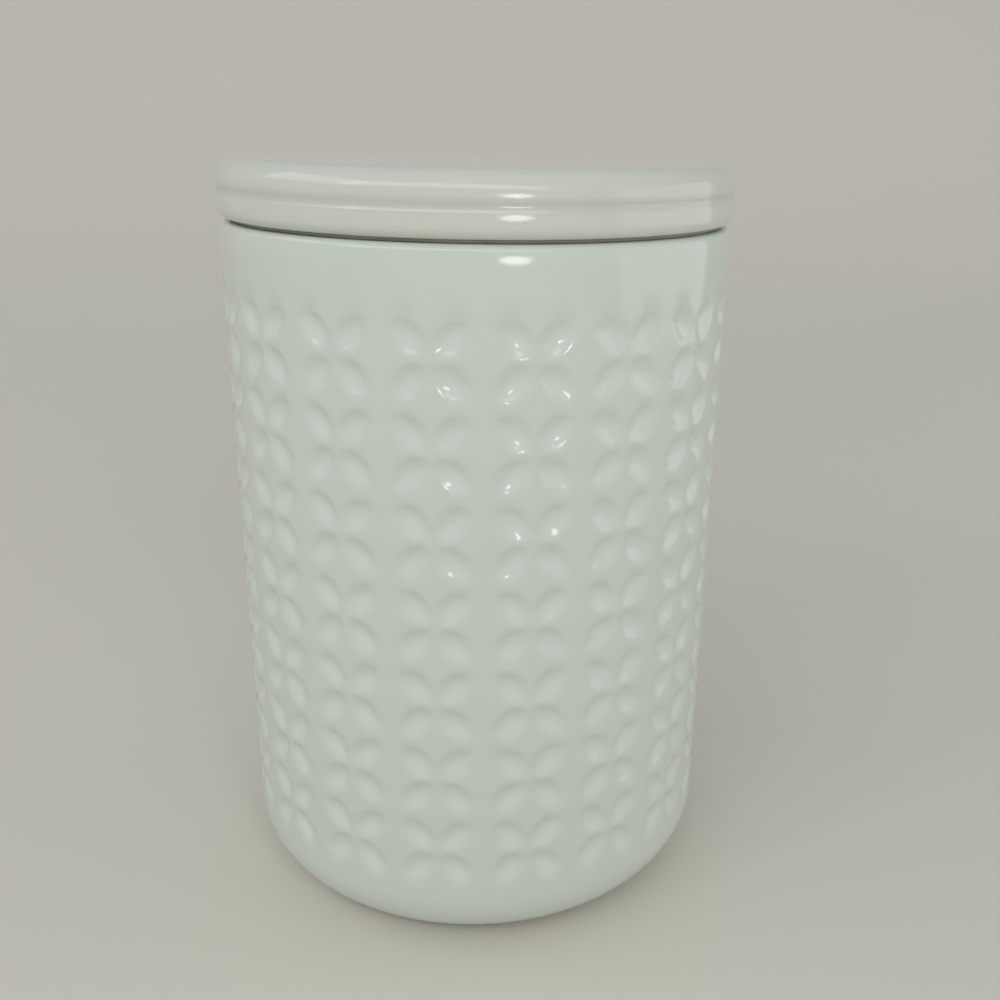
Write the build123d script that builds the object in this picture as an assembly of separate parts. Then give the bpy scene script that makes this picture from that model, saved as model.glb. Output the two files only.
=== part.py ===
from build123d import *
import math
import os

# Round stoneware coffee canister with a lift-off lid, all in millimetres.
# The origin is on the table at the centre of the foot, and +Z points up.
# The wall carries a repeat of four-leaf dents, pressed in eighteen columns of seven.

# Jar
body_radius = 58.0
rim_height = 161.0
wall = 6.4
floor_thickness = 7.0
heel_radius = 15.0
shoulder_lean = 11.0
shoulder_lean_radius = 20.0
rim_round = 1.5
mouth_round = 0.8

# Foot ring under the jar
foot_height = 1.2
foot_inset = 0.8
foot_width = 4.0
foot_round = 0.5

# Four-leaf dents in the wall
columns = 18
rows = 7
plain_band_top = 13.5
plain_band_bottom = 20.8
first_column_angle = -9.1
column_gap = 4.6
row_gap = 2.4
leaf_gap = 0.4
leaf_width = 6.1
leaf_depth = 1.2
leaf_tilt = 2.0
tool_lift = 0.25

# Lid
lid_height = 12.45
lid_overhang = 0.4
under_round = 2.2
under_turn = 86.0
lower_bead_radius = 14.0
lower_bead_turn = 11.0
lower_lip_turn = 18.0
groove_lip_radius = 1.2
groove_radius = 2.4
groove_turn = 39.0
upper_lip_turn = 11.0
upper_bead_radius = 9.0
upper_bead_turn = 10.0
lid_plate = 6.0
plug_wall = 4.8
plug_lip = 2.4
plug_round = 1.0
hollow_round = 3.0

# Silicone seal on the lid
seal_flange = 0.75
seal_flange_inset = 0.6
seal_skirt_height = 10.4
seal_skirt = 1.2
seal_seat = 0.8
seal_rib_half_height = 1.2
seal_rib_round = 0.3
upper_rib_drop = 3.6
lower_rib_drop = 7.6

# Fits
plug_clearance = 2.0
seal_clearance = 0.3

# Levels and radii that follow from the sizes above
mouth_radius = body_radius - wall
floor_level = foot_height + floor_thickness
foot_outer = body_radius - heel_radius - foot_inset
foot_inner = foot_outer - foot_width
lean = math.radians(shoulder_lean)
rim_edge = body_radius - shoulder_lean_radius * (1 - math.cos(lean)) - rim_round * math.cos(lean)
lean_start = rim_height - rim_round * (1 - math.sin(lean)) - shoulder_lean_radius * math.sin(lean)
lip_level = rim_height + seal_flange
lid_top = lip_level + lid_height
plug_radius = mouth_radius - plug_clearance
seat_radius = plug_radius - seal_seat
seat_bottom = rim_height - seal_skirt_height
plug_bottom = seat_bottom - plug_lip
plug_bore = seat_radius - plug_wall
hollow_top = lid_top - lid_plate


def turned(outline):
    """Solid made by turning a closed section, drawn as radius and height, about the vertical axis."""
    return revolve(make_face(Plane.XZ * outline), axis=Axis.Z)


def on_circle(centre, radius, angle):
    """Point of the section at an angle, in degrees, on a circle."""
    turn = math.radians(angle)
    return (centre[0] + radius * math.cos(turn), centre[1] + radius * math.sin(turn))


def smooth_arcs(start, heading, arcs):
    """Arcs of the section that run on smoothly from one another.

    Each has a radius and the degrees that it turns, which are below 0 for a turn to the right.
    """
    edges = []
    for radius, turn in arcs:
        side = math.copysign(radius, turn)
        centre = on_circle(start, side, heading + 90)
        halfway = on_circle(centre, side, heading - 90 + turn / 2)
        end = on_circle(centre, side, heading - 90 + turn)
        edges.append(ThreePointArc(start, halfway, end))
        start = end
        heading += turn
    return edges


def make_plain_jar():
    """Thick-walled jar with a rounded heel, a foot ring and a rounded shoulder."""
    body = FilletPolyline(
        (rim_edge, rim_height),
        (mouth_radius, rim_height),
        (mouth_radius, floor_level),
        (0, floor_level),
        (0, foot_height),
        (foot_inner, foot_height),
        (foot_inner, 0),
        (foot_outer, 0),
        (foot_outer, foot_height),
        (body_radius, foot_height),
        (body_radius, lean_start),
        radius=[mouth_round, heel_radius - wall, 0, 0, foot_round, foot_round, foot_round, 0, heel_radius],
    )
    # the shoulder leans in gently, then turns over into the rim
    shoulder = smooth_arcs(
        (body_radius, lean_start),
        90,
        [(shoulder_lean_radius, shoulder_lean), (rim_round, 90 - shoulder_lean)],
    )
    return turned(Curve() + body + shoulder)


def make_leaf_tool(length, width, depth):
    """Cutter for one leaf: the underside of a barrel whose long axis lies along X.

    The untouched wall is at height 0, and the barrel reaches the leaf's depth below it.
    """
    across = ((width / 2) ** 2 + depth**2) / (2 * depth)
    along = ((length / 2) ** 2 + depth**2) / (2 * depth)
    half = length / 2 + 3 * tool_lift
    end = across - along + math.sqrt(along**2 - half**2)
    sides = Polyline((half, end), (half, 0), (-half, 0), (-half, end))
    bulge = ThreePointArc((-half, end), (0, across), (half, end))
    barrel = revolve(make_face(Plane.XZ * (sides + bulge)), axis=Axis.X)
    barrel = Pos(0, 0, across - depth) * barrel
    room = 2 * length
    kept = Pos(0, 0, tool_lift - room / 2) * Box(room, room, room)
    return Rot(0, leaf_tilt, 0) * (barrel & kept)


def make_leaf_tools():
    """Cutters for every leaf: four to a motif, set on the diagonals about its centre."""
    column_pitch = 2 * math.pi * body_radius / columns
    row_pitch = (rim_height - plain_band_top - plain_band_bottom + row_gap) / rows
    top_row = rim_height - plain_band_top - (row_pitch - row_gap) / 2
    box_width = (column_pitch - column_gap - leaf_gap) / 2
    box_height = (row_pitch - row_gap - leaf_gap) / 2
    # a leaf as long as an ellipse of the given width that fills its corner of the motif
    length = math.sqrt(box_width**2 + box_height**2 - leaf_width**2)
    lean = (box_width**2 - box_height**2) / (length**2 - leaf_width**2)
    slope = math.degrees(math.acos(lean)) / 2
    tool = make_leaf_tool(length, leaf_width, leaf_depth)
    across_step = math.degrees((leaf_gap + box_width) / 2 / body_radius)
    up_step = (leaf_gap + box_height) / 2
    leaves = [(1, 1, slope), (-1, 1, 180 - slope), (-1, -1, 180 + slope), (1, -1, -slope)]
    tools = []
    for column in range(columns):
        for row in range(rows):
            for side, level, heading in leaves:
                angle = first_column_angle + 360 / columns * column + side * across_step - 90
                height = top_row - row_pitch * row + level * up_step
                outward = Vector(1, 0, 0).rotate(Axis.Z, angle)
                sideways = Vector(0, 1, 0).rotate(Axis.Z, angle)
                spot = Plane(origin=outward * body_radius + Vector(0, 0, height), x_dir=sideways, z_dir=outward)
                tools.append(spot * Rot(0, 0, heading) * tool)
    return tools


def make_jar():
    """The jar with its dents pressed in, without any chips that the cutters free from the wall."""
    pressed = make_plain_jar() - make_leaf_tools()
    return max(pressed.solids(), key=lambda solid: solid.volume)


def make_lid():
    """Lid with two soft beads and a shallow groove round its edge, and a hollow plug below."""
    to_bead = math.sin(math.radians(under_turn))
    start = (body_radius + lid_overhang - lower_bead_radius + (lower_bead_radius - under_round) * to_bead, lip_level)
    arcs = [
        (under_round, under_turn),
        (lower_bead_radius, lower_bead_turn),
        (groove_lip_radius, lower_lip_turn),
        (groove_radius, -groove_turn),
        (groove_lip_radius, upper_lip_turn),
        (upper_bead_radius, upper_bead_turn),
    ]
    # the top round takes up what the beads leave of the lid's height
    heading = sum(turn for _, turn in arcs)
    reached = smooth_arcs(start, 0, arcs)[-1] @ 1
    top_round = (lid_top - reached.Y) / (1 + math.cos(math.radians(heading)))
    edge = smooth_arcs(start, 0, arcs + [(top_round, 180 - heading)])
    top = Line(edge[-1] @ 1, (0, lid_top))
    under = FilletPolyline(
        start,
        (seat_radius, lip_level),
        (seat_radius, seat_bottom),
        (plug_radius, seat_bottom),
        (plug_radius, plug_bottom),
        (plug_bore, plug_bottom),
        (plug_bore, hollow_top),
        (0, hollow_top),
        radius=[0, 0, 0, plug_round, plug_round, hollow_round],
    )
    axis_line = Line((0, hollow_top), (0, lid_top))
    return turned(Curve() + edge + top + under + axis_line)


def make_lid_seal():
    """Silicone ring: a flat flange that the lid sits on, and a ribbed skirt round the plug."""
    skirt_radius = seat_radius + seal_skirt
    rib_radius = mouth_radius - seal_clearance
    flange_radius = rim_edge - seal_flange_inset
    corners = [
        ((seat_radius, lip_level), 0),
        ((flange_radius, lip_level), seal_rib_round),
        ((flange_radius, rim_height), seal_rib_round),
        ((skirt_radius, rim_height), seal_rib_round),
    ]
    for drop in (upper_rib_drop, lower_rib_drop):
        middle = rim_height - drop
        corners += [
            ((skirt_radius, middle + seal_rib_half_height), 0),
            ((rib_radius, middle), seal_rib_round),
            ((skirt_radius, middle - seal_rib_half_height), 0),
        ]
    corners += [
        ((skirt_radius, seat_bottom), seal_rib_round),
        ((seat_radius, seat_bottom), 0),
    ]
    points = [point for point, _ in corners]
    rounds = [round_ for _, round_ in corners]
    return turned(FilletPolyline(*points, radius=rounds, close=True))


os.makedirs("parts", exist_ok=True)
pieces = {"jar": make_jar(), "lid": make_lid(), "lid_seal": make_lid_seal()}
for name, piece in pieces.items():
    piece.label = name
    export_step(piece, f"parts/{name}.step", write_pcurves=False)
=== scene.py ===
"""White stoneware coffee canister: a jar pressed with four-leaf dents, a beaded lid and its seal.

Lengths are in metres. The canister stands on the floor with its axis on +Z, and the camera looks
along +Y and down on it.
"""

import logging
import math
from dataclasses import dataclass, field
from enum import Enum
from typing import Any

import bpy
import numpy as np
from mathutils import Matrix, Vector

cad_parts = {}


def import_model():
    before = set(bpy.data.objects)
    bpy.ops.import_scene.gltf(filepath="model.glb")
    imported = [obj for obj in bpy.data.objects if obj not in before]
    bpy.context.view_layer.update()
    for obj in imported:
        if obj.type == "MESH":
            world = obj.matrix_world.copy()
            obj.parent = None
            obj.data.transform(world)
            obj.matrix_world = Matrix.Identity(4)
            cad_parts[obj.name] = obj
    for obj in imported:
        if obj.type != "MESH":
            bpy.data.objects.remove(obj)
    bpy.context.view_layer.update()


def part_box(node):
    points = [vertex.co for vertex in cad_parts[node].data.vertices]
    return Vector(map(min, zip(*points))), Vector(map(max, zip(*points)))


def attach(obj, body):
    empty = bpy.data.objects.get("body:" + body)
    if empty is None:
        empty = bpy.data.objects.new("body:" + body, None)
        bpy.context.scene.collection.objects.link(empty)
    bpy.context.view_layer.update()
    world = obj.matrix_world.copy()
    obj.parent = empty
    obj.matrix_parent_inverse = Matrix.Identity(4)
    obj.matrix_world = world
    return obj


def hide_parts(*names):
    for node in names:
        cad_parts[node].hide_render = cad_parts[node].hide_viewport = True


LOG = logging.getLogger("canister")
MM = 0.001
MERGE_DISTANCE = 1e-6
SHARP_ANGLE = 40.0
# the Mix node has three sets of sockets of the same name: these are the colour ones
MIX_FIRST_COLOUR, MIX_SECOND_COLOUR, MIX_RESULT_COLOUR = 6, 7, 2
Colour = tuple[float, float, float]


class Body(Enum):
    """Bodies that the pieces ride on."""

    CANISTER = "canister"
    LID = "lid"


class Slot(Enum):
    """Material slots of the record."""

    JAR_GLAZE = "jar_glaze"
    LID_GLAZE = "lid_glaze"
    SEAL_SILICONE = "seal_silicone"


def linear(red: int, green: int, blue: int) -> Colour:
    """Linear colour of an sRGB one.

    Args:
        red: Red, from 0 to 255.
        green: Green, from 0 to 255.
        blue: Blue, from 0 to 255.

    Returns:
        The colour's linear channels.
    """
    channels = []
    for value in (red, green, blue):
        share = value / 255
        channels.append(share / 12.92 if share <= 0.04045 else ((share + 0.055) / 1.055) ** 2.4)
    return channels[0], channels[1], channels[2]


class Channel:
    """A socket of a material whose arithmetic adds Math nodes."""

    def __init__(self, tree: "Tree", socket: bpy.types.NodeSocket) -> None:
        """Wraps a socket of a tree."""
        self.tree = tree
        self.socket = socket

    def _math(self, operation: str, first: Any, second: Any) -> "Channel":
        """Adds a Math node and returns its result."""
        node = self.tree.node("ShaderNodeMath", {"operation": operation}, {0: first, 1: second})
        return Channel(self.tree, node.outputs[0])

    def __add__(self, other: Any) -> "Channel":
        """This plus another."""
        return self._math("ADD", self, other)

    def __sub__(self, other: Any) -> "Channel":
        """This less another."""
        return self._math("SUBTRACT", self, other)

    def __rsub__(self, other: Any) -> "Channel":
        """Another less this."""
        return self._math("SUBTRACT", other, self)

    def __mul__(self, other: Any) -> "Channel":
        """This times another."""
        return self._math("MULTIPLY", self, other)

    def ramp(self, low: float, high: float) -> "Channel":
        """Smooth step of this.

        Args:
            low: Value where the step starts, at 0.
            high: Value where it ends, at 1.

        Returns:
            The step, from 0 to 1, which falls where low is above high.
        """
        rises = low < high
        node = self.tree.node(
            "ShaderNodeMapRange",
            {"interpolation_type": "SMOOTHSTEP"},
            {
                "Value": self,
                "From Min": low if rises else high,
                "From Max": high if rises else low,
                "To Min": 0.0 if rises else 1.0,
                "To Max": 1.0 if rises else 0.0,
            },
        )
        return Channel(self.tree, node.outputs["Result"])


class Tree:
    """Node tree of one material."""

    def __init__(self, name: str) -> None:
        """Starts a material with an empty tree."""
        self.material = bpy.data.materials.new(name)
        self.material.use_nodes = True
        self.tree = self.material.node_tree
        self.tree.nodes.clear()
        self.place = self.node("ShaderNodeTexCoord").outputs["Object"]

    def node(
        self,
        kind: str,
        settings: dict[str, Any] | None = None,
        inputs: dict[Any, Any] | None = None,
    ) -> bpy.types.Node:
        """Adds a node.

        Args:
            kind: The node's type.
            settings: Its properties, set first.
            inputs: Values, channels or sockets for its inputs, by name or number.

        Returns:
            The node.
        """
        node = self.tree.nodes.new(kind)
        for name, value in (settings or {}).items():
            setattr(node, name, value)
        for key, value in (inputs or {}).items():
            if isinstance(value, Channel):
                value = value.socket
            if isinstance(value, bpy.types.NodeSocket):
                self.tree.links.new(value, node.inputs[key])
            elif isinstance(value, tuple) and len(value) == 3 and node.inputs[key].type == "RGBA":
                node.inputs[key].default_value = (*value, 1.0)
            else:
                node.inputs[key].default_value = value
        return node

    def noise(self, size: float, detail: float = 2.0, roughness: float = 0.5) -> Channel:
        """Noise over the piece.

        Args:
            size: Length of its largest features.
            detail: Octaves of finer noise.
            roughness: Strength of the finer noise.

        Returns:
            The noise, about 0.5 on average.
        """
        inputs = {"Vector": self.place, "Scale": 1 / size, "Detail": detail, "Roughness": roughness}
        return Channel(self, self.node("ShaderNodeTexNoise", {}, inputs).outputs["Fac"])

    def spots(self, spacing: float, radius: float) -> Channel:
        """Round spots at random places.

        Args:
            spacing: Distance between them.
            radius: Their radius.

        Returns:
            1 in the middle of a spot and 0 outside.
        """
        inputs = {"Vector": self.place, "Scale": 1 / spacing}
        distance = Channel(self, self.node("ShaderNodeTexVoronoi", {}, inputs).outputs["Distance"])
        return distance.ramp(radius / spacing, 0.0)

    def axis(self, name: str) -> Channel:
        """Place along X, Y or Z on the piece."""
        split = self.node("ShaderNodeSeparateXYZ", {}, {0: self.place})
        return Channel(self, split.outputs[name])

    def attribute(self, name: str) -> Channel:
        """Value of an attribute of the mesh."""
        node = self.node("ShaderNodeAttribute", {"attribute_name": name})
        return Channel(self, node.outputs["Fac"])

    def mix(self, share: Any, first: Any, second: Any) -> bpy.types.NodeSocket:
        """Mixes two colours.

        Args:
            share: How much of the second there is.
            first: A colour or a socket.
            second: A colour or a socket.

        Returns:
            The mixed colour.
        """
        inputs = {"Factor": share, MIX_FIRST_COLOUR: first, MIX_SECOND_COLOUR: second}
        node = self.node("ShaderNodeMix", {"data_type": "RGBA"}, inputs)
        return node.outputs[MIX_RESULT_COLOUR]

    def bump(
        self, height: Channel, distance: float, under: bpy.types.NodeSocket | None = None
    ) -> bpy.types.NodeSocket:
        """Normal of a surface with a relief.

        Args:
            height: The relief, from 0 to 1.
            distance: Its depth.
            under: Normal that the relief lies on, if another bump is under it.

        Returns:
            The normal.
        """
        inputs = {"Height": height, "Distance": distance, "Strength": 1.0}
        if under is not None:
            inputs["Normal"] = under
        return self.node("ShaderNodeBump", {}, inputs).outputs["Normal"]

    def finish(self, inputs: dict[str, Any]) -> bpy.types.Material:
        """Ends the tree in a Principled shader and returns the material."""
        shader = self.node("ShaderNodeBsdfPrincipled", {}, inputs)
        self.node("ShaderNodeOutputMaterial", {}, {"Surface": shader.outputs[0]})
        return self.material


@dataclass(frozen=True)
class Glaze:
    """Glossy white glaze with painted light in its recesses: lighter in dents, darker as painted
    shade in a groove.
    """

    name: str
    colour: Colour = linear(210, 219, 213)
    thin_colour: Colour = linear(213, 218, 210)
    # painted light: recesses take this colour, lighter where it offsets the shade in the dents and
    # darker where it is painted shade
    recess_shading_colour: Colour = linear(219, 227, 222)
    pinhole_colour: Colour = linear(176, 170, 156)
    thin_share: float = 0.5
    recess_shading_share: float = 0.8
    pinhole_share: float = 0.5
    roughness: float = 0.12
    roughness_spread: float = 0.04
    refraction: float = 1.5
    cloud: float = 38 * MM
    ripple: float = 3.2 * MM
    ripple_depth: float = 0.006 * MM
    wave: float = 24 * MM
    wave_depth: float = 0.05 * MM
    pinhole_spacing: float = 17 * MM
    pinhole_radius: float = 0.22 * MM
    pinhole_depth: float = 0.05 * MM

    def material(self) -> bpy.types.Material:
        """The glaze as a material that reads the mesh's press attribute."""
        tree = Tree(self.name)
        recess_shading_mask = tree.attribute("press")
        clouds = tree.noise(self.cloud, detail=3.0).ramp(low=0.3, high=0.7)
        pinholes = tree.spots(self.pinhole_spacing, self.pinhole_radius)
        base = tree.mix(clouds * self.thin_share, self.colour, self.thin_colour)
        # painted light and shade in the recesses that the press attribute marks
        base = tree.mix(recess_shading_mask * self.recess_shading_share, base, self.recess_shading_colour)
        base = tree.mix(pinholes * self.pinhole_share, base, self.pinhole_colour)
        smears = tree.noise(self.cloud / 3, detail=4.0)
        smoothest = self.roughness - self.roughness_spread / 2
        waves = tree.bump(tree.noise(self.wave, detail=1.0), self.wave_depth)
        ripples = tree.bump(tree.noise(self.ripple, detail=1.0), self.ripple_depth, waves)
        return tree.finish({
            "Base Color": base,
            "Roughness": smears * self.roughness_spread + smoothest,
            "IOR": self.refraction,
            "Normal": tree.bump(1 - pinholes, self.pinhole_depth, ripples),
        })


@dataclass(frozen=True)
class BareClay:
    """Unglazed stoneware, matt and speckled."""

    name: str = "bare_clay"
    colour: Colour = linear(186, 174, 154)
    speck_colour: Colour = linear(142, 126, 104)
    speck_share: float = 0.7
    grain_share: float = 0.5
    roughness: float = 0.8
    roughness_spread: float = 0.1
    grain: float = 0.5 * MM
    grain_depth: float = 0.05 * MM
    speck_spacing: float = 1.3 * MM
    speck_radius: float = 0.2 * MM

    def material(self) -> bpy.types.Material:
        """The clay as a material."""
        tree = Tree(self.name)
        grain = tree.noise(self.grain, detail=4.0, roughness=0.6)
        specks = tree.spots(self.speck_spacing, self.speck_radius)
        dark = specks * self.speck_share + (grain - 0.5) * self.grain_share
        return tree.finish({
            "Base Color": tree.mix(dark, self.colour, self.speck_colour),
            "Roughness": grain * self.roughness_spread + self.roughness,
            "Normal": tree.bump(grain, self.grain_depth),
        })


@dataclass(frozen=True)
class Silicone:
    """Matt translucent grey silicone with a faint moulded grain, its grey partly painted shade for
    the gap under the lid.
    """

    name: str = "seal_silicone"
    # grey darker than white silicone: partly painted shade of the gap between lid and rim
    colour: Colour = linear(150, 149, 143)
    dust_colour: Colour = linear(168, 166, 160)
    dust_share: float = 0.6
    roughness: float = 0.42
    roughness_spread: float = 0.12
    grain: float = 0.35 * MM
    grain_depth: float = 0.01 * MM
    patch: float = 9 * MM

    def material(self) -> bpy.types.Material:
        """The silicone as a material."""
        tree = Tree(self.name)
        dust = tree.noise(self.patch, detail=3.0).ramp(low=0.4, high=0.7)
        grain = tree.noise(self.grain)
        return tree.finish({
            "Base Color": tree.mix(dust * self.dust_share, self.colour, self.dust_colour),
            "Roughness": grain * self.roughness_spread + self.roughness,
            "Normal": tree.bump(grain, self.grain_depth),
        })


@dataclass(frozen=True)
class StudioCloth:
    """Pale matt cloth of the floor, lighter where it rises behind the canister."""

    name: str = "studio_cloth"
    colour: Colour = linear(222, 218, 208)
    far_colour: Colour = linear(251, 247, 239)
    grain_colour: Colour = linear(190, 190, 180)
    grain_share: float = 0.06
    roughness: float = 0.9
    specular: float = 0.2
    near: float = 0.1
    far: float = 1.2
    grain: float = 0.9 * MM
    grain_depth: float = 0.03 * MM

    def material(self) -> bpy.types.Material:
        """The cloth as a material."""
        tree = Tree(self.name)
        grain = tree.noise(self.grain, detail=3.0)
        base = tree.mix(tree.axis("Y").ramp(self.near, self.far), self.colour, self.far_colour)
        return tree.finish({
            "Base Color": tree.mix(grain * self.grain_share, base, self.grain_colour),
            "Roughness": self.roughness,
            "Specular IOR Level": self.specular,
            "Normal": tree.bump(grain, self.grain_depth),
        })


class Outline:
    """Half of a turned piece's section, drawn as radius and height from one stretch to the next."""

    def __init__(self, radius: float, height: float, heading: float = 0.0) -> None:
        """Starts the outline.

        Args:
            radius: Distance of its first point from the axis.
            height: Height of its first point.
            heading: Direction of the first stretch, in degrees: 0 is outwards and 90 is up.
        """
        self.points = [(radius, height)]
        self.heading = heading

    @property
    def spot(self) -> tuple[float, float]:
        """The last point."""
        return self.points[-1]

    def line(self, length: float, stops: tuple[float, ...] = ()) -> "Outline":
        """Draws a straight stretch.

        Args:
            length: Its length.
            stops: Distances along it that get a point too.

        Returns:
            The outline.
        """
        turn = math.radians(self.heading)
        radius, height = self.spot
        for reach in (*stops, length):
            self.points.append((radius + reach * math.cos(turn), height + reach * math.sin(turn)))
        return self

    def flat(self, length: float, margin: float = 0.5 * MM) -> "Outline":
        """Draws a straight stretch with a point close to each end, so that it shades as flat."""
        return self.line(length, (margin, length - margin))

    def corner(self, turn: float) -> "Outline":
        """Turns on the spot by some degrees, to the left if above 0."""
        self.heading += turn
        return self

    def arc(self, radius: float, turn: float, steps: int) -> "Outline":
        """Draws an arc.

        Args:
            radius: Its radius.
            turn: Degrees that it turns, to the left if above 0.
            steps: How many edges it has.

        Returns:
            The outline.
        """
        side = math.copysign(radius, turn)
        start = math.radians(self.heading)
        across = self.spot[0] - side * math.sin(start)
        up = self.spot[1] + side * math.cos(start)
        for step in range(1, steps + 1):
            angle = start + math.radians(turn) * step / steps
            self.points.append((across + side * math.sin(angle), up - side * math.cos(angle)))
        self.heading += turn
        return self

    def to_radius(self, radius: float) -> "Outline":
        """Draws a level stretch out or in to a radius."""
        return self.flat(abs(radius - self.spot[0]))

    def to_height(self, height: float) -> "Outline":
        """Draws an upright stretch up or down to a height."""
        return self.flat(abs(height - self.spot[1]))


def turned(name: str, outline: Outline, segments: int) -> bpy.types.Object:
    """Turns an outline into a closed piece.

    Args:
        name: Name of the piece.
        outline: Its section.
        segments: How many steps the turn has.

    Returns:
        The piece, at the origin.
    """
    bpy.ops.object.select_all(action="DESELECT")
    radius, height = outline.points[0]
    bpy.ops.mesh.primitive_plane_add(size=MM, location=(radius, 0, height))
    piece = bpy.context.active_object
    piece.name = name
    piece.data.name = name
    bpy.ops.object.mode_set(mode="EDIT")
    bpy.ops.mesh.select_all(action="SELECT")
    bpy.ops.mesh.merge(type="CENTER")
    for spot in outline.points[1:]:
        step = (spot[0] - radius, 0, spot[1] - height)
        bpy.ops.mesh.extrude_region_move(TRANSFORM_OT_translate={"value": step})
        radius, height = spot
    bpy.ops.mesh.select_all(action="SELECT")
    bpy.ops.mesh.spin(steps=segments, angle=2 * math.pi, center=(0, 0, 0), axis=(0, 0, 1))
    bpy.ops.mesh.select_all(action="SELECT")
    bpy.ops.mesh.remove_doubles(threshold=MERGE_DISTANCE)
    bpy.ops.mesh.normals_make_consistent(inside=False)
    bpy.ops.object.mode_set(mode="OBJECT")
    bpy.ops.object.transform_apply(location=True, rotation=True, scale=True)
    bpy.ops.object.shade_smooth_by_angle(angle=math.radians(SHARP_ANGLE))
    return piece


def corners_of(piece: bpy.types.Object) -> np.ndarray:
    """Places of a piece's vertices, one row each."""
    places = np.empty(len(piece.data.vertices) * 3)
    piece.data.vertices.foreach_get("co", places)
    return places.reshape(-1, 3)


def set_attribute(piece: bpy.types.Object, name: str, values: np.ndarray) -> None:
    """Gives each vertex of a piece a value of a named attribute."""
    attribute = piece.data.attributes.new(name, "FLOAT", "POINT")
    attribute.data.foreach_set("value", values.astype(np.float32))


def settle(piece: bpy.types.Object, body: Body, slot: Slot, *nodes: str) -> None:
    """Makes a piece stand for nodes of the frame.

    Args:
        piece: The finished piece.
        body: Body that it rides on.
        slot: Slot of the record that its finish is from; not used.
        nodes: Nodes that it replaces.
    """
    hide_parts(*nodes)
    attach(piece, body.value)
    triangles = sum(len(face.vertices) - 2 for face in piece.data.polygons)
    LOG.info("%s: %d triangles on %s", piece.name, triangles, body.value)


@dataclass
class LeafRepeat:
    """Four-leaf dents in columns and rows round the wall."""

    columns: int = 18
    rows: int = 7
    top_margin: float = 13.5 * MM
    bottom_margin: float = 20.8 * MM
    first_column: float = -9.1
    column_gap: float = 4.6 * MM
    row_gap: float = 2.4 * MM
    leaf_gap: float = 0.4 * MM
    leaf_width: float = 6.1 * MM
    leaf_depth: float = 1.2 * MM
    leaf_tilt: float = 2.0
    softness: float = 0.15
    steps_across: int = 21
    steps_between: int = 3
    steps_up: int = 22
    column_pitch: float = field(init=False)
    row_pitch: float = field(init=False)
    across_step: float = field(init=False)
    up_step: float = field(init=False)
    leaf_length: float = field(init=False)
    slope: float = field(init=False)

    def lay_out(self, wall_radius: float, rim_height: float) -> None:
        """Works out the repeat on a wall.

        Args:
            wall_radius: Radius of the wall.
            rim_height: Height of the rim.
        """
        self.column_pitch = 2 * math.pi * wall_radius / self.columns
        pressed_height = rim_height - self.top_margin - self.bottom_margin
        self.row_pitch = (pressed_height + self.row_gap) / self.rows
        box_width = (self.column_pitch - self.column_gap - self.leaf_gap) / 2
        box_height = (self.row_pitch - self.row_gap - self.leaf_gap) / 2
        self.across_step = (self.leaf_gap + box_width) / 2
        self.up_step = (self.leaf_gap + box_height) / 2
        self.leaf_length = math.sqrt(box_width**2 + box_height**2 - self.leaf_width**2)
        lean = (box_width**2 - box_height**2) / (self.leaf_length**2 - self.leaf_width**2)
        self.slope = math.acos(lean) / 2

    @property
    def segments(self) -> int:
        """Steps of a full turn."""
        return self.columns * (self.steps_across + self.steps_between)

    def heights(self) -> list[float]:
        """Levels of the wall's edges through the dents, from the lowest up."""
        motif = self.row_pitch - self.row_gap
        levels = []
        for row in range(self.rows):
            low = self.bottom_margin + row * self.row_pitch
            levels += [low + motif * step / self.steps_up for step in range(self.steps_up + 1)]
        return levels

    def spread(self, piece: bpy.types.Object) -> tuple[np.ndarray, np.ndarray]:
        """Moves the turn's steps closer together across the leaves.

        Args:
            piece: The turned jar.

        Returns:
            Its vertices' places, and their distance round the wall from the nearest column.
        """
        places = corners_of(piece)
        radius = np.hypot(places[:, 0], places[:, 1])
        turn = np.degrees(np.arctan2(places[:, 0], -places[:, 1]))
        per_column = self.steps_across + self.steps_between
        step = np.round((turn - self.first_column) * self.segments / 360)
        column = np.floor(step / per_column + 0.5)
        place = step - column * per_column
        motif = 1 - self.column_gap / self.column_pitch
        known = [-per_column / 2, -self.steps_across / 2, self.steps_across / 2, per_column / 2]
        share = np.interp(place, known, [-0.5, -motif / 2, motif / 2, 0.5])
        angle = np.radians(self.first_column + (column + share) * 360 / self.columns)
        places[:, 0] = radius * np.sin(angle)
        places[:, 1] = -radius * np.cos(angle)
        return places, share * self.column_pitch

    def press(self, across: np.ndarray, height: np.ndarray) -> np.ndarray:
        """How deep the dents are.

        Args:
            across: Distances round the wall from the nearest column.
            height: Heights on the wall.

        Returns:
            The depth at each place, as a share of a leaf's depth.
        """
        first_row = self.bottom_margin + (self.row_pitch - self.row_gap) / 2
        row = np.clip(np.round((height - first_row) / self.row_pitch), 0, self.rows - 1)
        up = np.abs(height - first_row - row * self.row_pitch) - self.up_step
        out = np.abs(across) - self.across_step
        along = out * math.cos(self.slope) + up * math.sin(self.slope)
        side = up * math.cos(self.slope) - out * math.sin(self.slope)
        inside = 1 - (2 * along / self.leaf_length) ** 2 - (2 * side / self.leaf_width) ** 2
        inside += math.tan(math.radians(self.leaf_tilt)) * along / self.leaf_depth
        return (inside + np.sqrt(inside**2 + self.softness**2)) / 2


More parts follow.
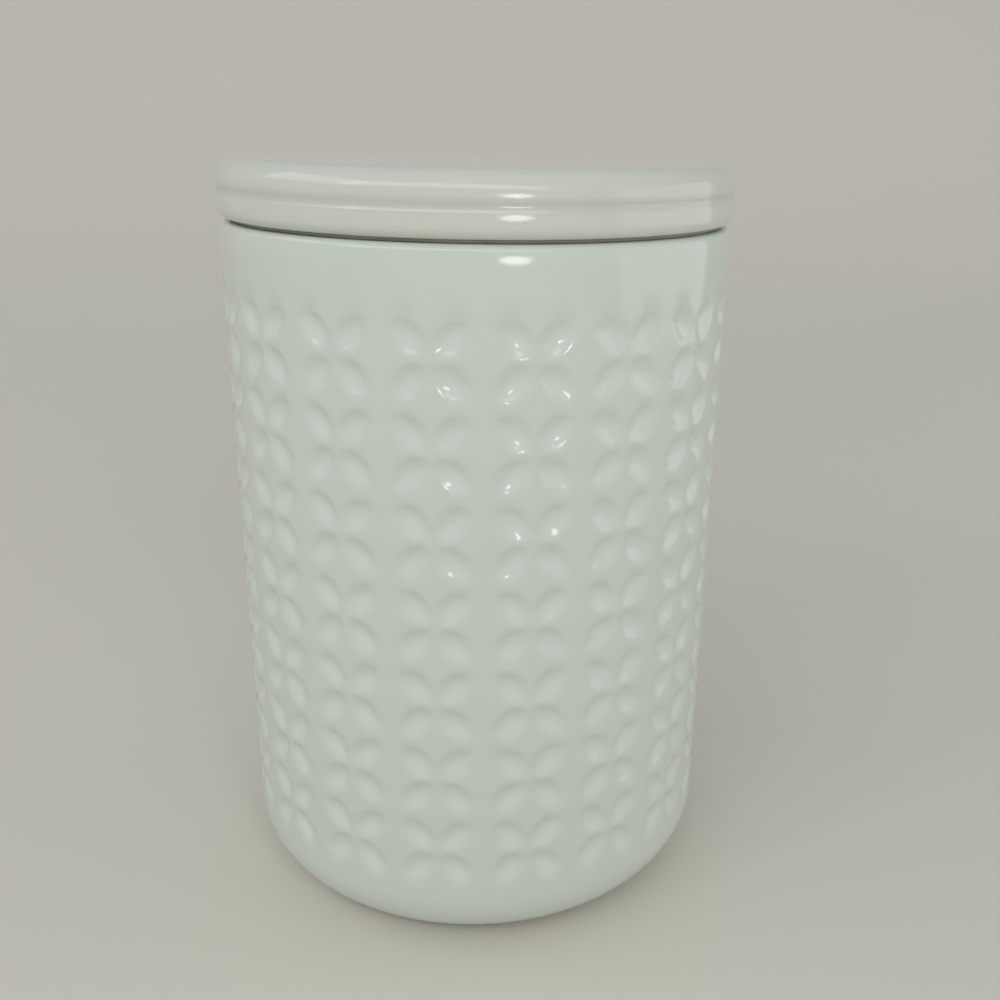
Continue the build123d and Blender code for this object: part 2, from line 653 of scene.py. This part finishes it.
@dataclass
class Jar:
    """Thick-walled jar with a rounded heel, a foot ring and a wall pressed with leaves."""

    wall: float = 6.4 * MM
    floor_thickness: float = 7.0 * MM
    heel_radius: float = 15.0 * MM
    shoulder_lean: float = 11.0
    shoulder_lean_radius: float = 20.0 * MM
    rim_round: float = 1.5 * MM
    mouth_round: float = 0.8 * MM
    foot_height: float = 1.2 * MM
    foot_inset: float = 0.8 * MM
    foot_width: float = 4.0 * MM
    foot_round: float = 0.5 * MM
    bare_height: float = 0.75 * MM
    leaves: LeafRepeat = field(default_factory=LeafRepeat)
    radius: float = field(init=False)
    rim: float = field(init=False)

    def measure(self) -> None:
        """Takes the wall's radius and the rim's height from the frame."""
        _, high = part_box("jar")
        self.radius = high.x
        self.rim = high.z
        self.leaves.lay_out(self.radius, self.rim)

    def outline(self) -> Outline:
        """The jar's section, from the middle of its underside round to the middle of its floor."""
        foot_outer = self.radius - self.heel_radius - self.foot_inset
        foot_inner = foot_outer - self.foot_width
        pen = Outline(0, self.foot_height)
        pen.to_radius(foot_inner - self.foot_round).arc(self.foot_round, -90, steps=3)
        pen.line(self.foot_height - 2 * self.foot_round).arc(self.foot_round, 90, steps=4)
        pen.flat(self.foot_width - 2 * self.foot_round).arc(self.foot_round, 90, steps=4)
        pen.line(self.foot_height - self.foot_round).corner(-90)
        pen.line(self.foot_inset).arc(self.heel_radius, 90, steps=15)
        lean = math.sin(math.radians(self.shoulder_lean))
        lean_start = self.rim - self.rim_round * (1 - lean) - self.shoulder_lean_radius * lean
        start = pen.spot[1]
        stops = [level - start for level in self.leaves.heights()]
        pen.line(lean_start - start, (stops[0] / 2, *stops, (stops[-1] + lean_start - start) / 2))
        pen.arc(self.shoulder_lean_radius, self.shoulder_lean, steps=4)
        pen.arc(self.rim_round, 90 - self.shoulder_lean, steps=7)
        mouth = self.radius - self.wall
        pen.to_radius(mouth + self.mouth_round).arc(self.mouth_round, 90, steps=5)
        inner_heel = self.heel_radius - self.wall
        pen.to_height(self.foot_height + self.floor_thickness + inner_heel)
        pen.arc(inner_heel, -90, steps=8).to_radius(0)
        return pen

    def build(self) -> None:
        """Turns the jar, presses its leaves in and dresses it."""
        piece = turned("stoneware_jar", self.outline(), self.leaves.segments)
        places, across = self.leaves.spread(piece)
        reach = np.hypot(places[:, 0], places[:, 1])
        above_heel = places[:, 2] > self.foot_height + self.heel_radius
        on_wall = (reach > self.radius - MERGE_DISTANCE) & above_heel
        press = np.where(on_wall, self.leaves.press(across, places[:, 2]), 0.0)
        inwards = 1 - press * self.leaves.leaf_depth / self.radius
        places[:, 0] *= inwards
        places[:, 1] *= inwards
        piece.data.vertices.foreach_set("co", places.ravel())
        piece.data.update()
        # press also marks the dents that the glaze paints lighter, painted light that offsets their
        # shade
        set_attribute(piece, "press", press)
        piece.data.materials.append(Glaze("jar_glaze").material())
        piece.data.materials.append(BareClay().material())
        for face in piece.data.polygons:
            if face.center.z < self.bare_height:
                face.material_index = 1
        settle(piece, Body.CANISTER, Slot.JAR_GLAZE, "jar")


@dataclass
class Lid:
    """Lid with two soft beads and a shallow groove round its edge, and a hollow plug below."""

    overhang: float = 0.4 * MM
    under_round: float = 2.2 * MM
    under_turn: float = 86.0
    lower_bead_radius: float = 14.0 * MM
    lower_bead_turn: float = 11.0
    lower_lip_turn: float = 18.0
    groove_lip_radius: float = 1.2 * MM
    groove_radius: float = 2.4 * MM
    groove_turn: float = 39.0
    upper_lip_turn: float = 11.0
    upper_bead_radius: float = 9.0 * MM
    upper_bead_turn: float = 10.0
    plate: float = 6.0 * MM
    plug_wall: float = 4.8 * MM
    plug_round: float = 1.0 * MM
    plug_clearance: float = 2.0 * MM
    hollow_round: float = 3.0 * MM
    # band of the edge where the groove's glaze gets painted shade
    groove_shade_low: float = 4.5 * MM
    groove_shade_high: float = 7.5 * MM
    groove_shade_reach: float = 1.0 * MM
    groove_shade_depth: float = 0.5 * MM
    segments: int = 256
    glaze: Glaze = Glaze(
        "lid_glaze",
        colour=linear(211, 215, 208),
        thin_colour=linear(214, 215, 205),
        # darker recess colour: painted shade in the groove
        recess_shading_colour=linear(199, 202, 193),
    )
    top: float = field(init=False)
    bottom: float = field(init=False)
    reach: float = field(init=False)
    under: float = field(init=False)
    seat_radius: float = field(init=False)
    seat_bottom: float = field(init=False)
    plug_radius: float = field(init=False)

    def measure(self, jar: Jar, seal: "Seal") -> None:
        """Takes the lid's place from the frame, the jar and the seal.

        Args:
            jar: The jar that the lid closes.
            seal: The ring that the lid carries.
        """
        low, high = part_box("lid")
        self.top = high.z
        self.bottom = low.z
        self.reach = jar.radius + self.overhang
        self.under = seal.top
        self.seat_radius = seal.seat_radius
        self.seat_bottom = seal.bottom
        self.plug_radius = jar.radius - jar.wall - self.plug_clearance

    def outline(self) -> Outline:
        """The lid's section, from the middle of its hollow round to the middle of its top."""
        bore = self.seat_radius - self.plug_wall
        pen = Outline(0, self.top - self.plate)
        pen.to_radius(bore - self.hollow_round).arc(self.hollow_round, -90, steps=8)
        pen.to_height(self.bottom + self.plug_round).arc(self.plug_round, 90, steps=5)
        pen.line(self.plug_radius - bore - 2 * self.plug_round).arc(self.plug_round, 90, steps=5)
        pen.line(self.seat_bottom - self.bottom - self.plug_round).corner(90)
        pen.line(self.plug_radius - self.seat_radius).corner(-90)
        pen.line(self.under - self.seat_bottom).corner(-90)
        to_bead = math.sin(math.radians(self.under_turn))
        bead_middle = self.reach - self.lower_bead_radius
        pen.to_radius(bead_middle + (self.lower_bead_radius - self.under_round) * to_bead)
        pen.arc(self.under_round, self.under_turn, steps=9)
        pen.arc(self.lower_bead_radius, self.lower_bead_turn, steps=5)
        pen.arc(self.groove_lip_radius, self.lower_lip_turn, steps=4)
        pen.arc(self.groove_radius, -self.groove_turn, steps=9)
        pen.arc(self.groove_lip_radius, self.upper_lip_turn, steps=3)
        pen.arc(self.upper_bead_radius, self.upper_bead_turn, steps=4)
        top_round = (self.top - pen.spot[1]) / (1 + math.cos(math.radians(pen.heading)))
        pen.arc(top_round, 180 - pen.heading, steps=16)
        pen.to_radius(0)
        return pen

    def build(self) -> None:
        """Turns the lid and dresses it, with painted shade in the glaze of its groove."""
        piece = turned("stoneware_lid", self.outline(), self.segments)
        places = corners_of(piece)
        reach = np.hypot(places[:, 0], places[:, 1])
        # mask of the painted shade in the groove
        level = places[:, 2] - self.under
        in_groove = (level > self.groove_shade_low) & (level < self.groove_shade_high)
        in_groove &= reach > self.reach - self.groove_shade_reach
        press = np.where(in_groove, (self.reach - reach) / self.groove_shade_depth, 0.0)
        set_attribute(piece, "press", np.clip(press, 0, 1))
        piece.data.materials.append(self.glaze.material())
        settle(piece, Body.LID, Slot.LID_GLAZE, "lid")


@dataclass
class Seal:
    """Silicone ring: a flat flange between lid and rim, and a ribbed skirt round the plug."""

    flange_inset: float = 0.6 * MM
    skirt: float = 1.2 * MM
    seat_depth: float = 0.8 * MM
    plug_clearance: float = 2.0 * MM
    clearance: float = 0.3 * MM
    rib_half_height: float = 1.2 * MM
    corner_round: float = 0.3 * MM
    rib_drops: tuple[float, ...] = (3.6 * MM, 7.6 * MM)
    segments: int = 192
    bottom: float = field(init=False)
    top: float = field(init=False)
    flange_radius: float = field(init=False)
    rim: float = field(init=False)
    rib_radius: float = field(init=False)
    seat_radius: float = field(init=False)

    def measure(self, jar: Jar) -> None:
        """Takes the ring's levels from the frame and its radii from the jar.

        Args:
            jar: The jar that the ring closes.
        """
        low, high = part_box("lid_seal")
        self.bottom = low.z
        self.top = high.z
        self.flange_radius = high.x
        self.rim = jar.rim
        mouth = jar.radius - jar.wall
        self.rib_radius = mouth - self.clearance
        self.seat_radius = mouth - self.plug_clearance - self.seat_depth

    def outline(self) -> Outline:
        """The ring's section, once round from the top of its bore."""
        skirt_radius = self.seat_radius + self.skirt
        reach = self.rib_radius - skirt_radius
        slant = math.degrees(math.atan2(self.rib_half_height, reach))
        corner = self.corner_round
        tangent = corner * math.tan(math.radians(90 - slant))
        slope = math.hypot(reach, self.rib_half_height) - tangent
        pen = Outline(self.seat_radius, self.top, -90)
        height = self.top - self.bottom
        pen.line(height, (height / 2,)).corner(90)
        pen.line(self.skirt - corner).arc(corner, 90, steps=3)
        for drop in reversed(self.rib_drops):
            middle = self.rim - drop
            pen.line(middle - self.rib_half_height - pen.spot[1]).corner(slant - 90)
            pen.line(slope).arc(corner, 180 - 2 * slant, steps=4)
            pen.line(slope).corner(slant - 90)
        pen.line(self.rim - corner - pen.spot[1]).arc(corner, -90, steps=3)
        pen.line(self.flange_radius - corner - pen.spot[0]).arc(corner, 90, steps=4)
        pen.line(self.top - corner - pen.spot[1]).arc(corner, 90, steps=4)
        pen.line(pen.spot[0] - self.seat_radius)
        return pen

    def build(self) -> None:
        """Turns the ring and dresses it."""
        piece = turned("silicone_seal", self.outline(), self.segments)
        piece.data.materials.append(Silicone().material())
        settle(piece, Body.LID, Slot.SEAL_SILICONE, "lid_seal")


@dataclass
class Softbox:
    """One plain lamp, aimed at a point of the canister's axis."""

    name: str
    azimuth: float
    elevation: float
    distance: float
    width: float
    height: float
    radiance: float
    aim_height: float = 90 * MM
    shape: str = "RECTANGLE"

    def build(self) -> None:
        """Adds the lamp, which the camera doesn't see."""
        turn, rise = math.radians(self.azimuth), math.radians(self.elevation)
        level = math.cos(rise)
        towards = Vector((math.sin(turn) * level, -math.cos(turn) * level, math.sin(rise)))
        light = bpy.data.lights.new(self.name, "AREA")
        light.shape = self.shape
        light.size = self.width
        light.size_y = self.height
        area = self.width * self.height * (math.pi / 4 if self.shape == "ELLIPSE" else 1)
        light.energy = self.radiance * math.pi * area
        lamp = bpy.data.objects.new(self.name, light)
        bpy.context.scene.collection.objects.link(lamp)
        lamp.location = towards * self.distance + Vector((0, 0, self.aim_height))
        lamp.rotation_euler = towards.to_track_quat("Z", "Y").to_euler()
        lamp.visible_camera = False


@dataclass
class Studio:
    """Pale floor that curves up all round, soft lamps and the camera."""

    floor_radius: float = 1.3
    floor_rings: tuple[float, ...] = (0.3, 0.7)
    sweep_radius: float = 0.45
    wall_height: float = 0.6
    floor_segments: int = 96
    world: float = 0.43
    world_colour: Colour = (0.945, 1.0, 1.02)
    lamps: tuple[Softbox, ...] = (
        Softbox("front_high", -15, 40, distance=1.45, width=2.3, height=0.42, radiance=2.1),
        Softbox("left_high", -80, 38, distance=0.85, width=0.7, height=0.3, radiance=1.3),
        Softbox("front", 0, 12, distance=0.75, width=1.2, height=0.5, radiance=0.2),
        Softbox("left", -95, 10, distance=0.8, width=1.0, height=0.5, radiance=0.1),
        Softbox("right", 88, 10, distance=0.8, width=0.85, height=0.5, radiance=0.85),
        Softbox(
            "near_camera",
            13.5,
            0,
            distance=0.267,
            width=54 * MM,
            height=38 * MM,
            radiance=8.6,
            aim_height=184 * MM,
            shape="ELLIPSE",
        ),
    )
    sensor_width: float = 36.0
    view_range: tuple[float, float] = (0.01, 20.0)
    focal_pixels: float = 1079.4
    image_pixels: float = 1000.0
    centre_pixels: tuple[float, float] = (540.0, 512.9)
    camera_distance: float = 258.6 * MM
    camera_height: float = 182.1 * MM
    yaw: float = 3.46
    pitch: float = 19.87
    roll: float = 1.165

    def build_floor(self) -> None:
        """Turns the floor and its upturned edge, as a sheet that faces in."""
        pen = Outline(0, 0)
        pen.line(self.floor_radius, self.floor_rings)
        pen.arc(self.sweep_radius, 90, steps=12).line(self.wall_height)
        floor = turned("studio_floor", pen, self.floor_segments)
        bpy.ops.object.select_all(action="DESELECT")
        floor.select_set(True)
        bpy.context.view_layer.objects.active = floor
        bpy.ops.object.mode_set(mode="EDIT")
        bpy.ops.mesh.select_all(action="SELECT")
        bpy.ops.mesh.normals_make_consistent(inside=True)
        bpy.ops.object.mode_set(mode="OBJECT")
        floor.data.materials.append(StudioCloth().material())

    def build_world(self) -> None:
        """Fills in with an even pale light from all round."""
        world = bpy.data.worlds.new("studio_world")
        bpy.context.scene.world = world
        world.use_nodes = True
        background = world.node_tree.nodes["Background"]
        background.inputs["Color"].default_value = (*self.world_colour, 1.0)
        background.inputs["Strength"].default_value = self.world

    def build_camera(self) -> None:
        """Places the camera as the photograph was taken."""
        yaw, pitch, roll = (math.radians(angle) for angle in (self.yaw, self.pitch, self.roll))
        ahead = math.cos(pitch)
        forward = Vector((math.sin(yaw) * ahead, math.cos(yaw) * ahead, -math.sin(pitch)))
        level = Vector((math.cos(yaw), -math.sin(yaw), 0))
        upright = level.cross(forward)
        right = math.cos(roll) * level + math.sin(roll) * upright
        above = math.cos(roll) * upright - math.sin(roll) * level
        camera = bpy.data.cameras.new("camera")
        camera.sensor_width = self.sensor_width
        camera.lens = self.sensor_width * self.focal_pixels / self.image_pixels
        camera.shift_x = (self.image_pixels / 2 - self.centre_pixels[0]) / self.image_pixels
        camera.shift_y = (self.centre_pixels[1] - self.image_pixels / 2) / self.image_pixels
        camera.clip_start, camera.clip_end = self.view_range
        stand = bpy.data.objects.new("camera", camera)
        bpy.context.scene.collection.objects.link(stand)
        place = Matrix.Translation((0, -self.camera_distance, self.camera_height))
        stand.matrix_world = place @ Matrix((right, above, -forward)).transposed().to_4x4()
        bpy.context.scene.camera = stand

    def build(self) -> None:
        """Builds the whole studio."""
        self.build_floor()
        self.build_world()
        for lamp in self.lamps:
            lamp.build()
        self.build_camera()
        bpy.context.scene.view_settings.view_transform = "Standard"


def main() -> None:
    """Builds the canister and its studio round the frame."""
    logging.basicConfig(level=logging.INFO, format="%(message)s")
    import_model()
    jar, seal, lid = Jar(), Seal(), Lid()
    jar.measure()
    seal.measure(jar)
    lid.measure(jar, seal)
    jar.build()
    seal.build()
    lid.build()
    Studio().build()


if __name__ == "__main__":
    main()
